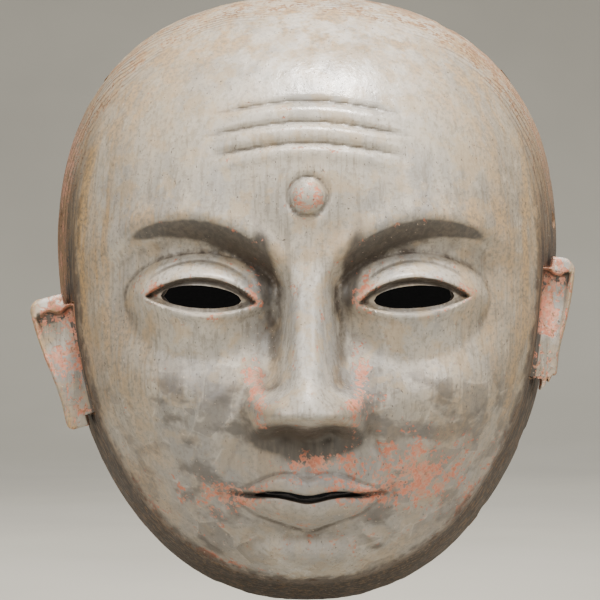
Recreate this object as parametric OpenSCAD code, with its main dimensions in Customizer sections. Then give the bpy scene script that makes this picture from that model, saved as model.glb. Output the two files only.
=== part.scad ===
// Carved wooden theatre mask: a hollow face shell with two ear blocks pegged into its
// sides and three fitting pads inside. Millimetres. The face looks along -Y, +Z is up,
// and y = 0 is the flat back rim. Left and right are the mask's own, so left is +X.

/* [Shell] */
// Height of the shell, crown to chin
mask_h = 212; // [200:1:224]
// Width of the shell without its ears
mask_w = 173; // [164:1:184]
// How far the bare dome stands in front of the rim
dome_d = 74; // [68:1:80]
// Width of the rim at the sides
rim_w = 8; // [7:0.5:9]
// Wall between the front of the dome and the hollow
front_wall = 11; // [10:0.5:13]
// Share by which the crown is wider than the jaw
egg = 0.12; // [0.06:0.01:0.18]

/* [Nose] */
// How far the tip of the nose stands out of the face
nose_rise = 19.5; // [14:0.5:22]

/* [Eyes] */
// Distance of each eye's middle from the middle of the face
eye_x = 35; // [33:0.5:37]
// Half the length of the eye opening between the lids
eye_half = 18.2; // [16:0.2:20]
// Half the length of the hole through the wall
hole_half = 13.5; // [11:0.5:15]
// Half the height of the hole through the wall
hole_rise = 4.2; // [3.4:0.1:5]

/* [Mouth] */
// Half the length of the slit between the lips
slit_half = 17; // [12:1:20]
// Half the height of the slit
slit_rise = 1.4; // [1:0.1:1.8]

/* [Ears] */
// Height of an ear block
ear_h = 46; // [40:1:52]
// How far the left ear block stands out from the floor of its seat
left_ear_out = 12; // [11.5:0.5:15]
// How far the right ear block stands out from the floor of its seat
right_ear_out = 16; // [13:0.5:19]
// Thickness of an ear block, front to back
ear_t = 9; // [7:0.5:10]
// Height of the part of the ear that is let into the side wall
seat_h = 38; // [32:1:42]
// Depth of the seat below the side wall
seat_depth = 3; // [2:0.5:4]
// Diameter of a bamboo peg
peg_d = 3; // [2.4:0.2:4]

/* [Cord holes] */
// Diameter of the hole for the tying cord
cord_hole_d = 5; // [4:0.5:6]
// Height of the cord holes above the middle of the mask
cord_hole_z = 27; // [26:1:34]
// Distance of the cord holes in front of the rim
cord_hole_y = 13; // [11:1:15]

/* [Pads] */
// Thickness of the forehead pad
brow_pad_t = 11; // [7:1:14]
// Thickness of a cheek pad
cheek_pad_t = 9; // [6:1:12]

/* [Hidden] */
$fn = 48;

half_w = mask_w / 2;
half_h = mask_h / 2;
outline_power = 2.3; // boxiness of the outline, 2 is an ellipse
dome_power = 3;      // flatness of the front
dome_root = 1.6;     // how squarely the front turns into the sides
rim_share = rim_w / half_w;
hollow_d = dome_d - front_wall;

spokes = 96;     // points round each ring
outer_rings = 34;
inner_rings = 16;

// Each ear: side, height of its middle, lean of its top away from the head, how far it stands
// out of its seat, and how much narrower its lower end is
LEFT_EAR = [1, -8, 8, left_ear_out, 2];
RIGHT_EAR = [-1, -20, 14, right_ear_out, 4];
ear_y = -24;        // middle of the ear block's thickness
ear_reach = 0.942;  // where the side wall of the dome is that deep
ear_carving = 2;    // depth of the hollow in the front of the ear
peg_spacing = 22;   // between the two pegs of one ear
peg_bite = 6.5;     // length of peg inside the ear block
peg_length = 13;
pad_gap = 0.3;      // glue line between a pad and the hollow

// ---- Curves ----------------------------------------------------------------

// Smooth step from 0 at lo to 1 at hi
function step(lo, hi, v) = let (t = min(1, max(0, (v - lo) / (hi - lo)))) t * t * (3 - 2 * t);
// A rounded hump, 1 at (cx, cz), with reach sx and sz
function hump(x, z, cx, cz, sx, sz) = exp(-pow((x - cx) / sx, 2) - pow((z - cz) / sz, 2));
// Half an arch over -1 to 1, with fullness p
function arch(t, p) = pow(max(0, 1 - t * t), p);
// How far out a point is: 0 in the middle, 1 on the outline
function reach(x, z) = pow(pow(abs(x / (half_w * (1 + egg * z / half_h))), outline_power)
                           + pow(abs(z / half_h), outline_power), 1 / outline_power);
// Height of a flat-fronted dome of depth d at that reach
function dome(r, d) = d * pow(max(0, 1 - pow(min(1, r), dome_power)), 1 / dome_root);

// ---- Carved features, each a height in front of the dome ---------------------

function brow_line(X) = 25 - (X < 40 ? 0.0140 : 0.0115) * pow(X - 40, 2);
function forehead(X, z) = 3 * hump(X, z, 0, 52, 52, 34) - 2.5 * hump(X, z, 74, 30, 13, 22);
function eye_socket(X, z) =
    -(9.5 - 3.5 * step(22, 62, X)) * (1 - step(56, 76, X)) * step(3, 13, X)
    * step(-1.5, 9, brow_line(X) - z) * step(-30, -8, z);
function eyeball(X, z) =
    9.8 * pow(max(0, 1 - pow((X - eye_x) / 25.5, 2) - pow((z - 0.3) / 15, 2)), 0.8);
function eye_middle(X) = -0.6 + 0.06 * (X - eye_x);
function upper_lid(X) = eye_middle(X) + 6.9 * arch((X - eye_x) / eye_half, 0.85);
function lower_lid(X) = eye_middle(X) - 4.6 * arch((X - eye_x) / eye_half, 0.9);
function lid_opening(X, z) = abs(X - eye_x) > eye_half ? 0
    : -3.4 * (1 - step(-0.8, 0.4, max(z - upper_lid(X), lower_lid(X) - z)));
function nose(X, z) =
    let (k = min(1, max(0, (12 - z) / 50)), w = 6 + 5.2 * pow(k, 1.6))
    (2.2 + nose_rise * pow(k, 1.15)) * (1 - step(2, 26, z)) * step(-46.5, -37.5, z)
        * exp(-pow(X / w, 2.5))
    + 3 * hump(X, z, 0, -35, 8.5, 6.5)
    + 10.5 * exp(-pow(abs(X - 12.6) / 6.3, 2.6) - pow(abs(z + 37) / 6.6, 2.6))
    - 5.5 * hump(X, z, 7.4, -43, 3.4, 2.3);
function mouth_line(X) = -65 - 0.9 * exp(-pow(X / 5, 2)) + 0.8 * exp(-pow((X - 11) / 6.5, 2))
    + 0.9 * step(16, 25, X);
function lips(X, z) =
    let (l = min(1, X / 25.5), m = mouth_line(X),
         tu = (z - m) / (6.8 - 6.6 * pow(l, 1.8)), tl = (m - z) / (8.8 - 8.6 * pow(l, 2.2)))
    (1 - pow(l, 3)) * (tu >= 0 ? 3.4 * pow(max(0, 1 - pow((tu - 0.40) / 0.66, 2)), 0.8)
                               : 4.4 * pow(max(0, 1 - pow((tl - 0.44) / 0.62, 2)), 0.8))
    + 5.2 * hump(X, z, 0, -63, 31, 17) - 1.5 * hump(X, z, 27, -65, 4, 3.4);
function chin(X, z) = 6.5 * hump(X, z, 0, -91, 23, 13) - 2.4 * hump(X, z, 0, -79, 17, 4);
function cheeks(X, z) = 4.6 * hump(X, z, 46, -26, 25, 23) - 2 * hump(X, z, 60, -62, 15, 18);

function carving(X, z) = (forehead(X, z) + eye_socket(X, z) + eyeball(X, z) + lid_opening(X, z)
    + nose(X, z) + lips(X, z) + chin(X, z) + cheeks(X, z)) * (1 - step(0.80, 0.98, reach(X, z)));

// The hollow: a shallower dome with room for the wearer's nose, lips and brow
function hollow_carving(X, z) = (11 * hump(X, z, 0, -34, 8, 12) + 4 * hump(X, z, 0, -68, 28, 18)
    + 2 * hump(X, z, 46, -26, 25, 23) - 5.5 * hump(X, z, 20, 3, 17, 17));
function hollow(x, z) =
    let (r = reach(x / (1 - rim_share), z / (1 - rim_share)))
    -dome(r, hollow_d) - hollow_carving(abs(x), z) * (1 - step(0.75, 0.97, r));

// ---- Face shell ------------------------------------------------------------

// A point of the plan, at reach r along spoke angle f
function plan(r, f) =
    let (c = cos(f), s = sin(f), p = 2 / outline_power,
         v = r * sign(s) * pow(abs(s), p))
    [half_w * (1 + egg * v) * r * sign(c) * pow(abs(c), p), half_h * v];
// Ring spacing, closer towards the rim, where the sides are steep
function ring_reach(t) = 1 - pow(1 - t, 1.6);

function outer_point(r, f) =
    let (p = plan(r, f)) [p.x, -dome(r, dome_d) - carving(abs(p.x), p.y), p.y];
function inner_point(r, f) =
    let (p = plan(r, f) * (1 - rim_share * pow(r, 4))) [p.x, r >= 1 ? 0 : hollow(p.x, p.y), p.y];

shell_points = concat(
    [outer_point(0, 0)],
    [for (i = [1:outer_rings], j = [0:spokes - 1])
        outer_point(ring_reach(i / outer_rings), 360 * j / spokes)],
    [inner_point(0, 0)],
    [for (i = [1:inner_rings], j = [0:spokes - 1])
        inner_point(ring_reach(i / inner_rings), 360 * j / spokes)]);

inner_start = 1 + outer_rings * spokes; // where the hollow's points begin
function next_spoke(j) = (j + 1) % spokes;
// The triangles of one sheet of rings. flip turns them to face the other way.
function turned(t, flip) = flip ? [t[2], t[1], t[0]] : t;
function sheet(start, rings, flip) = concat(
    [for (j = [0:spokes - 1]) turned([start, start + 1 + j, start + 1 + next_spoke(j)], flip)],
    [for (i = [0:rings - 2], j = [0:spokes - 1], half = [0, 1])
        let (p = start + 1 + i * spokes, k = next_spoke(j))
        turned(half == 0 ? [p + j, p + spokes + j, p + spokes + k] : [p + j, p + spokes + k, p + k],
               flip)]);
outer_rim = 1 + (outer_rings - 1) * spokes;
inner_rim = inner_start + 1 + (inner_rings - 1) * spokes;
rim_faces = [for (j = [0:spokes - 1], half = [0, 1])
    let (k = next_spoke(j))
    half == 0 ? [outer_rim + j, inner_rim + j, inner_rim + k]
              : [outer_rim + j, inner_rim + k, outer_rim + k]];
shell_faces = concat(sheet(0, outer_rings, false), sheet(inner_start, inner_rings, true), rim_faces);

// A prism along Y through the whole depth of the shell
module through_wall() {
    rotate([90, 0, 0]) linear_extrude(2 * dome_d) children();
}

// The eye hole: a leaf with round ends
module eye_hole() {
    steps = 12;
    through_wall() polygon([for (i = [-steps:steps]) let (t = i / steps)
            [eye_x + hole_half * t, eye_middle(eye_x + hole_half * t) + 0.4 + hole_rise * arch(t, 0.5)],
        for (i = [steps - 1:-1:1 - steps]) let (t = i / steps)
            [eye_x + hole_half * t, eye_middle(eye_x + hole_half * t) + 0.4
                - 0.75 * hole_rise * arch(t, 0.5)]]);
}

// The slit between the lips, following the mouth line
module mouth_slit() {
    steps = 10;
    function edge(i, side) = let (x = slit_half * i / steps)
        [x, mouth_line(abs(x)) + side * slit_rise * arch(i / steps, 0.5)];
    through_wall() polygon(concat([for (i = [-steps:steps]) edge(i, 1)],
                                  [for (i = [steps - 1:-1:1 - steps]) edge(i, -1)]));
}

// Puts its children in an ear's own frame: x out of the head, z up along the ear, origin on the
// floor of the seat
module at_ear(ear) {
    side = ear[0];
    wall_x = plan(ear_reach, asin(ear[1] / half_h)).x;
    mirror([side < 0 ? 1 : 0, 0, 0])
        translate([wall_x - seat_depth, ear_y, ear[1]]) rotate([0, ear[2], 0]) children();
}

module ear_seat() {
    translate([0, -ear_t / 2, -seat_h / 2]) cube([30, ear_t, seat_h]);
}

// The two pegs of an ear, or their holes with a little more on the radius
module pegs(extra) {
    for (z = [-peg_spacing / 2, peg_spacing / 2])
        translate([peg_bite, 0, z]) rotate([0, -90, 0]) cylinder(d = peg_d + 2 * extra, h = peg_length);
}

module face_shell() {
    color("#8d887c") difference() {
        polyhedron(shell_points, shell_faces);
        for (side = [0, 1]) mirror([side, 0, 0]) {
            eye_hole();
            translate([half_w - 3 * rim_w, -cord_hole_y, cord_hole_z])
                rotate([0, 90, 0]) cylinder(d = cord_hole_d, h = 4 * rim_w);
        }
        mouth_slit();
        for (ear = [LEFT_EAR, RIGHT_EAR]) at_ear(ear) {
            ear_seat();
            pegs(0.02);
        }
    }
}

// ---- Ears ------------------------------------------------------------------

// Points of an arc about (cx, cz) from angle f0 to f1
function arc(cx, cz, r, f0, f1) = [for (i = [0:6]) let (f = f0 + (f1 - f0) * i / 6)
    [cx + r * cos(f), cz + r * sin(f)]];

// Outline of the block from in front: a round-cornered slab that narrows downwards
ear_clear = seat_depth + 2.5; // where the slab may grow taller than its seat
function ear_outline(out, taper, top, r) = concat(
    [[0, -seat_h / 2], [ear_clear, -seat_h / 2], [ear_clear, -top]],
    arc(out - taper - r, r - top, r, -90, 0),
    arc(out - r * 1.4, top - r * 1.4, r * 1.4, 0, 90),
    [[ear_clear, top], [ear_clear, seat_h / 2], [0, seat_h / 2]]);

module upright(depth) {
    rotate([90, 0, 0]) linear_extrude(depth, center = true) children();
}

// The shell of the ear is hollowed from in front, which leaves a rim above and outside
module ear_hollow(out, taper) {
    inside = seat_depth + 1;
    translate([0, -ear_t / 2, 0]) upright(2 * ear_carving)
        polygon(concat([[inside, -ear_h / 2 + 9]],
                       arc(out - taper - 5.2, -ear_h / 2 + 11.5, 2.5, -90, 0),
                       arc(out - 6, ear_h / 2 - 10.5, 3.5, 0, 90),
                       [[inside, ear_h / 2 - 7]]));
}

module ear_block(ear) {
    color("#8a8072") at_ear(ear) difference() {
        upright(ear_t) polygon(ear_outline(ear[3], ear[4], ear_h / 2, 2));
        ear_hollow(ear[3], ear[4]);
        pegs(0.02);
    }
}

// The left ear has lost its lobe: its lower end is broken off in two steps
module broken_end() {
    translate([0, 0, -ear_h / 2]) {
        translate([ear_clear + 2, -ear_t, -2]) cube([20, 2 * ear_t, 7]);
        translate([ear_clear + 0.5, -ear_t, -2]) cube([20, 2 * ear_t, 3.5]);
    }
}

module ear_left() {
    color("#8a8072") difference() {
        ear_block(LEFT_EAR);
        at_ear(LEFT_EAR) broken_end();
    }
}

module ear_right() { ear_block(RIGHT_EAR); }

module ear_pegs_left() { color("#b08d57") at_ear(LEFT_EAR) pegs(0); }

module ear_pegs_right() { color("#b08d57") at_ear(RIGHT_EAR) pegs(0); }

// ---- Pads ------------------------------------------------------------------

pad_spokes = 32;
pad_rings = 6;

// A crowned cushion whose back follows the hollow: centre, half sizes, lean and thickness
module pad(cx, cz, rx, rz, lean, t) {
    function place(r, f) = let (
            p = [rx * r * sign(cos(f)) * pow(abs(cos(f)), 0.8),
                 rz * r * sign(sin(f)) * pow(abs(sin(f)), 0.8)])
        [cx + p.x * cos(lean) - p.y * sin(lean), cz + p.x * sin(lean) + p.y * cos(lean)];
    function on(r, f, rise) = let (p = place(r, f)) [p.x, hollow(p.x, p.y) + pad_gap + rise, p.y];
    function crown(r) = t * pow(max(0, 1 - pow(r, 2.6)), 0.6);
    points = concat(
        [on(0, 0, t)],
        [for (i = [1:pad_rings], j = [0:pad_spokes - 1])
            on(i / pad_rings, 360 * j / pad_spokes, crown(i / pad_rings))],
        [on(0, 0, 0)],
        [for (i = [1:pad_rings - 1], j = [0:pad_spokes - 1])
            on(i / pad_rings, 360 * j / pad_spokes, 0)]);
    under = 1 + pad_rings * pad_spokes;
    // A ring's first point. The last ring belongs to both sides.
    function top_ring(i) = 1 + (i - 1) * pad_spokes;
    function under_ring(i) = i == pad_rings ? top_ring(i) : under + 1 + (i - 1) * pad_spokes;
    faces = [for (j = [0:pad_spokes - 1]) let (k = (j + 1) % pad_spokes) each concat(
        [[0, top_ring(1) + k, top_ring(1) + j], [under, under_ring(1) + j, under_ring(1) + k]],
        [for (i = [1:pad_rings - 1]) each [
            [top_ring(i) + j, top_ring(i) + k, top_ring(i + 1) + k],
            [top_ring(i) + j, top_ring(i + 1) + k, top_ring(i + 1) + j],
            [under_ring(i) + j, under_ring(i + 1) + k, under_ring(i) + k],
            [under_ring(i) + j, under_ring(i + 1) + j, under_ring(i + 1) + k]]])];
    polyhedron(points, faces);
}

module forehead_pad() { color("#cfc6b0") pad(0, 60, 33, 12, 0, brow_pad_t); }

module cheek_pad_left() { color("#cfc6b0") pad(46, -34, 19, 11, 68, cheek_pad_t); }

module cheek_pad_right() { mirror([1, 0, 0]) cheek_pad_left(); }

face_shell();
ear_left();
ear_right();
ear_pegs_left();
ear_pegs_right();
forehead_pad();
cheek_pad_left();
cheek_pad_right();
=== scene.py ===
"""A carved and painted wooden theatre mask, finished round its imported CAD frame.

Metres throughout. The face looks along -Y, +Z is up, +X is the mask's own left, and y = 0 is the flat
back rim. Shapes are worked out in millimetres, the carver's measure, and MM turns them into metres.
"""
import itertools
import math

import bpy
import numpy as np
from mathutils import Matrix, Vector


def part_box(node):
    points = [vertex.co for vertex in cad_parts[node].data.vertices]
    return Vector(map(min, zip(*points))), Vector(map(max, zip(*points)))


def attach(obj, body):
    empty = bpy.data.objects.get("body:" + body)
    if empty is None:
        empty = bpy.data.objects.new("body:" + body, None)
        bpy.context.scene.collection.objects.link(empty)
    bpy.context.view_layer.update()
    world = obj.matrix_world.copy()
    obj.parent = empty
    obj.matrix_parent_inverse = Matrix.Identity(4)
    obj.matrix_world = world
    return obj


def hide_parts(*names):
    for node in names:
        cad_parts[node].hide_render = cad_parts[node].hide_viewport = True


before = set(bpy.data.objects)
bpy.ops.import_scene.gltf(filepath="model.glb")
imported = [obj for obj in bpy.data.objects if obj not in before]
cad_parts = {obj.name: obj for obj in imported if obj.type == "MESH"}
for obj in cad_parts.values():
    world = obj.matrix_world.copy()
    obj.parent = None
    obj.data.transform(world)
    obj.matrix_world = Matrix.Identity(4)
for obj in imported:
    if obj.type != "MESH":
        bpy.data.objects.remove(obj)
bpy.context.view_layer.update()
MM = 0.001

# ---- Camera ------------------------------------------------------------------
# The mask is looked at straight from the front and level with its middle, from a step away, and it fills
# the picture from crown to chin, a little to the right of the middle.

shell_low, shell_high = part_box("face_shell")
camera_away = 0.95
camera_x, camera_z = -0.0025, -0.0007
picture_width = 0.996 * (shell_high.z - shell_low.z)

camera = bpy.data.objects.new("camera", bpy.data.cameras.new("camera"))
bpy.context.scene.collection.objects.link(camera)
camera.data.lens = camera.data.sensor_width * camera_away / picture_width
camera.location = (camera_x, -camera_away, camera_z)
camera.rotation_euler = (math.radians(90), 0, 0)
bpy.context.scene.camera = camera

# ---- Face shell --------------------------------------------------------------
# One block of cypress, carved to a face in front and hollowed with a gouge behind, down to a wall of 5 to
# 12 mm. The eye holes and the slit between the lips go right through, and the rim is planed flat.

OUTLINE_POWER = 2.3
EGG = 0.12  # share by which the crown is wider than the jaw
DOME_DEPTH = 74
HOLLOW_DEPTH = 63
RIM_WIDTH = 8
EYE_X = 35
EYE_HALF = 18.2
HOLE_HALF = 13.5
HOLE_RISE = 4.2
SLIT_HALF = 17
SLIT_RISE = 1.4

heights = np.linspace(-1, 1, 401)
egg_swell = ((1 + EGG * heights) * (1 - abs(heights) ** OUTLINE_POWER) ** (1 / OUTLINE_POWER)).max()
half_h = (shell_high.z - shell_low.z) / 2 / MM
half_w = (shell_high.x - shell_low.x) / 2 / MM / egg_swell
rim_share = RIM_WIDTH / half_w


def step(lo, hi, v):
    """Smooth step: 0 below lo, 1 above hi, and 3t^2 - 2t^3 between them."""
    t = np.clip((v - lo) / (hi - lo), 0, 1)
    return t * t * (3 - 2 * t)


def hump(x, z, cx, cz, sx, sz):
    """Rounded hump: e to the power of minus the squared distance from (cx, cz), measured in sx and sz."""
    return np.exp(-(((x - cx) / sx) ** 2) - ((z - cz) / sz) ** 2)


def line(distance, width):
    """Soft line: 1 on it, falling off as a bell of that width."""
    return np.exp(-((distance / width) ** 2))


def arch(t, fullness):
    """(1 - t^2) to the power of fullness, and nothing beyond -1 and 1."""
    return np.clip(1 - t * t, 0, 1) ** fullness


def reach(x, z):
    """How far out a point is, 0 in the middle and 1 on the outline, a superellipse wider at the crown."""
    across = abs(x / (half_w * (1 + EGG * z / half_h))) ** OUTLINE_POWER
    return (across + abs(z / half_h) ** OUTLINE_POWER) ** (1 / OUTLINE_POWER)


def dome(r, depth):
    """Flat-fronted dome: depth times (1 - r^3) to the power of 1/1.6."""
    return depth * (1 - np.clip(r, 0, 1) ** 3) ** (1 / 1.6)


def brow_line(X):
    """Height of the brow's lower edge: a parabola with its top over the outer half of the eye."""
    return 25 - np.where(X < 40, 0.0140, 0.0115) * (X - 40) ** 2


def eye_middle(X):
    """Height of the line between the corners of the eye, which rises a little outwards."""
    return -0.6 + 0.06 * (X - EYE_X)


def upper_lid(X):
    """Edge of the upper lid: an arch over the eye, fuller towards the nose."""
    t = np.clip((X - EYE_X) / EYE_HALF, -1, 1)
    return eye_middle(X) + 6.9 * arch(t, 0.85) * (1 - 0.10 * t)


def lower_lid(X):
    """Edge of the lower lid: a flatter arch below the eye."""
    return eye_middle(X) - 4.6 * arch((X - EYE_X) / EYE_HALF, 0.9)


def mouth_line(X):
    """Height of the line between the lips: a dip in the middle, a soft wave and a level corner."""
    return -65 - 0.9 * line(X, 5) + 0.8 * line(X - 11, 6.5) + 0.9 * step(16, 25, X)


def forehead(X, z):
    """A broad swell, flat temples, three soft furrows, and a round boss in a ring groove."""
    h = 3.0 * hump(X, z, 0, 52, 52, 34) - 2.5 * hump(X, z, 74, 30, 13, 22)
    for height, length in ((48, 36), (55, 40), (62, 36)):
        off = z - (height + 2.5 * np.cos(np.pi * X / 44))
        h += (0.7 * line(off + 3, 2.2) - 1.3 * line(off, 0.95)) * (1 - step(length * 0.55, length, X))
    from_boss = np.hypot(X, z - 33)
    return h + 2.6 * arch(from_boss / 5.2, 0.7) - 1.0 * line(from_boss - 6.5, 0.85)


def socket(X, z):
    """Hollow under the brow, and the brow's soft ridge above it."""
    below = brow_line(X) - z
    deep = (9.5 - 3.5 * step(22, 62, X)) * (1 - step(56, 76, X)) * step(3, 13, X)
    ridge = 1.6 * line(-below - 3, 4.5) * (1 - step(52, 72, X)) * step(2, 14, X)
    return ridge - deep * step(-1.5, 9, below) * step(-36, -4, z)


def eye(X, z):
    """Eyeball under the lids: a low dome, a bead along both lids, the opening cut back, a crease above."""
    ball = ((X - EYE_X) / 25.5) ** 2 + ((z - 0.3) / np.where(z > 0.3, 14.5, 21.0)) ** 2
    t = np.clip((X - EYE_X) / EYE_HALF, -1, 1)
    past = abs(X - EYE_X) - EYE_HALF
    gap = np.maximum(z - upper_lid(X), lower_lid(X) - z)
    gap = np.where(past > 0, np.hypot(past, z - eye_middle(X)), gap)
    crease = line(z - upper_lid(X) - 4.6 - 1.2 * (1 - t * t), 0.9) * (1 - step(12, 19, abs(X - 36)))
    rounded = 9.8 * np.clip(1 - ball, 0, 1) ** (0.8 + 0.7 * step(0.3, -9, z))
    return rounded + 0.8 * line(gap - 1.3, 1.4) - 3.4 * (1 - step(-0.8, 0.4, gap)) - 1.0 * crease


def nose(X, z):
    """Ridge that rises and widens downwards, a round tip, the two wings, and the nostrils."""
    k = np.clip((12 - z) / 50, 0, 1)
    ridge = (2.2 + 19.5 * k**1.15) * (1 - step(2, 26, z)) * step(-46.5, -37.5, z)
    wing = np.exp(-(abs((X - 12.6) / 6.3) ** 2.6) - abs((z + 37) / 6.6) ** 2.6)
    return (ridge * np.exp(-((X / (6 + 5.2 * k**1.6)) ** 2.5)) + 3 * hump(X, z, 0, -35, 8.5, 6.5)
            + 10.5 * wing - 5.5 * hump(X, z, 7.4, -43, 3.4, 2.3))


def mouth(X, z):
    """Barrel of the mouth with the groove under the nose, and two lips that taper into the corners."""
    out = np.clip(X / 25.5, 0, 1)
    middle = mouth_line(X)
    up = (z - middle) / (6.8 - 6.6 * out**1.8 - 0.9 * line(X, 2.6))
    down = (middle - z) / (8.8 - 8.6 * out**2.2)
    lip = np.where(up >= 0, 3.4 * arch((up - 0.40) / 0.81, 0.8), 4.4 * arch((down - 0.44) / 0.79, 0.8))
    groove = 1.4 * line(X, 2.7) * step(-60, -56, z) * (1 - step(-47, -44, z))
    corner = 1.5 * hump(X, z, 27, -65, 4, 3.4) + 2.2 * line(z - middle, 1.0) * (1 - step(22, 28, X))
    return 5.2 * hump(X, z, 0, -63, 31, 17) - groove + (1 - out**3) * lip - corner


def cheeks(X, z):
    """Cheekbone, the hollow below it, the soft fold beside the mouth, and the round chin."""
    fold_x = 17 + 0.42 * (-38 - z) + 2 * np.sin(np.clip((-38 - z) / 30, 0, 1) * np.pi)
    fold = 0.9 * line(X - fold_x, 2.2) * step(-72, -60, z) * (1 - step(-42, -34, z))
    chin = 6.5 * hump(X, z, 0, -91, 23, 13) - 2.4 * hump(X, z, 0, -79, 17, 4)
    return 4.6 * hump(X, z, 46, -26, 25, 23) - 2 * hump(X, z, 60, -62, 15, 18) - fold + chin


def relief(x, z):
    """All carving in front of the dome, the same on both sides, fading out before the side walls."""
    X = abs(x)
    carved = forehead(X, z) + socket(X, z) + eye(X, z) + nose(X, z) + mouth(X, z) + cheeks(X, z)
    return carved * (1 - step(0.80, 0.98, reach(x, z)))


def hollow(x, z):
    """Depth of the back: a shallower dome, deeper for the wearer's nose, lips and cheeks."""
    X = abs(x)
    r = reach(x / (1 - rim_share), z / (1 - rim_share))
    room = (11 * hump(X, z, 0, -34, 8, 12) + 4 * hump(X, z, 0, -68, 28, 18)
            + 2 * hump(X, z, 46, -26, 25, 23) - 5.5 * hump(X, z, 20, 3, 17, 17))
    return dome(r, HOLLOW_DEPTH) + room * (1 - step(0.75, 0.97, r))


def packed(n, closer):
    """n + 1 values from -1 to 1, closer together around each (place, spread, amount): a running sum of 1
    over the density, brought back to -1 to 1."""
    at = np.linspace(-1, 1, 2001)
    density = 1 + sum(amount * line(at - place, spread) for place, spread, amount in closer)
    total = np.concatenate([[0], np.cumsum((density[1:] + density[:-1]) / 2)])
    return np.interp(np.linspace(0, total[-1], n + 1), total, at)


def plan(u, v):
    """Square to outline: the corners are rounded off by (u sqrt(1 - v^2/2), v sqrt(1 - u^2/2)), the rings are
    drawn towards the rim by 1 - (1 - r)^1.3, and every direction is stretched out to the superellipse."""
    across, up = u * np.sqrt(1 - v * v / 2), v * np.sqrt(1 - u * u / 2)
    r = np.clip(np.hypot(across, up), 1e-9, 1)
    c, s = across / r, up / r
    far = (1 - (1 - r) ** 1.3) * (abs(c) ** OUTLINE_POWER + abs(s) ** OUTLINE_POWER) ** (-1 / OUTLINE_POWER)
    return half_w * (1 + EGG * far * s) * far * c, half_h * far * s


CELLS = 264
columns = packed(CELLS, [(-0.42, 0.26, 0.8), (0.42, 0.26, 0.8), (0, 0.12, 0.35)])
rows = packed(CELLS, [(0.0, 0.13, 1.6), (-0.34, 0.12, 0.8), (-0.61, 0.12, 1.3), (0.45, 0.2, 0.5)])
sheet_x, sheet_z = plan(*np.meshgrid(columns, rows))


def nearest_even(values, wanted):
    """Index of the even entry nearest to the wanted value: a line that the coarser hollow has too."""
    return 2 * int(abs(values[::2] - wanted).argmin())


eye_row = nearest_even(sheet_z[:, CELLS // 2], eye_middle(EYE_X))
mouth_row = nearest_even(sheet_z[:, CELLS // 2], mouth_line(0))
eye_first = nearest_even(sheet_x[eye_row], EYE_X - HOLE_HALF)
eye_last = nearest_even(sheet_x[eye_row], EYE_X + HOLE_HALF)
slit_last = nearest_even(sheet_x[mouth_row], SLIT_HALF)
slits = [(eye_row, eye_first, eye_last), (eye_row, CELLS - eye_last, CELLS - eye_first),
         (mouth_row, CELLS - slit_last, slit_last)]
in_slit = np.zeros(sheet_z.shape, bool)
for row, first, last in slits:
    in_slit[row, first + 1:last] = True


def opened(row, upper, lower, room, sides):
    """How far the sheet's points move up as a row opens into slits: the row's points go onto the edges upper
    and lower, as much as sides says, and the rows beyond follow, less and less over the distance room. Gives
    the moves seen from the rows below and from the rows above."""
    lift, drop = (upper - sheet_z[row]) * sides, (lower - sheet_z[row]) * sides
    near = 1 - step(0, 1, abs(sheet_z - sheet_z[row]) / room)
    rows = np.arange(len(sheet_z))[:, None]
    return np.where(rows <= row, drop, lift) * near, np.where(rows < row, drop, lift) * near


def slit_plan(flare):
    """Heights of the sheet's points with the eye holes and the mouth slit open, flare times as high as in
    front: those seen from the rows below, and those seen from the rows above."""
    x = abs(sheet_x[eye_row])
    start, end = sheet_x[eye_row, [eye_first, eye_last]]
    rise = flare * HOLE_RISE * arch((x - (start + end) / 2) / ((end - start) / 2), 0.5)
    middle = eye_middle(x) + 0.4
    eyes = opened(eye_row, middle + rise, middle - 0.75 * rise, 17, 1 - step(14, 27, abs(x - EYE_X)))
    x = abs(sheet_x[mouth_row])
    rise = flare * SLIT_RISE * arch(x / sheet_x[mouth_row, slit_last], 0.5)
    middle = mouth_line(x)
    lips = opened(mouth_row, middle + rise, middle - rise, 11, 1 - step(19, 33, x))
    return [sheet_z + eye_move + lip_move for eye_move, lip_move in zip(eyes, lips)]


def border(ids):
    """The loop of numbers round the outside of a grid of them."""
    return np.concatenate([ids[0, :-1], ids[:-1, -1], ids[-1, :0:-1], ids[:0:-1, 0]])


def quads_of(ids):
    """The quads of a grid of point numbers."""
    return np.stack([ids[:-1, :-1], ids[:-1, 1:], ids[1:, 1:], ids[1:, :-1]], -1).reshape(-1, 4)


def sewn_sheet(below, above, stride):
    """Points and quads of a sheet with open slits, every stride-th line of it. A slit's points are there
    twice, and the quads above it take the second one. Gives points in plan, quads, and the loops of the
    outline and of each slit."""
    x, below, above, inside = (a[::stride, ::stride] for a in (sheet_x, below, above, in_slit))
    first = np.arange(x.size).reshape(x.shape)
    second = first.copy()
    second[inside] = x.size + np.arange(inside.sum())
    points = np.concatenate([np.stack([x, below], -1).reshape(-1, 2), np.stack([x, above], -1)[inside]])
    quads = np.stack([second[:-1, :-1], second[:-1, 1:], first[1:, 1:], first[1:, :-1]], -1).reshape(-1, 4)
    loops = [border(first)]
    for row, start, end in slits:
        row, start, end = row // stride, start // stride, end // stride
        loops.append(np.concatenate([second[row, start:end], first[row, end:start:-1]]))
    return points, quads, loops


def ring_quads(outer, inner):
    """Quads between two rings of as many points each."""
    return np.stack([outer, inner, np.roll(inner, -1), np.roll(outer, -1)], -1)


def halving(fine, coarse):
    """Triangles from a ring to one with half as many points."""
    even, odd, after = fine[::2], fine[1::2], np.roll(fine[::2], -1)
    coarse_after = np.roll(coarse, -1)
    return np.concatenate([np.stack([even, coarse, odd], -1), np.stack([odd, coarse, coarse_after], -1),
                           np.stack([odd, coarse_after, after], -1)])


LATTICE = np.random.default_rng(7).random((32, 32, 32))


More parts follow.
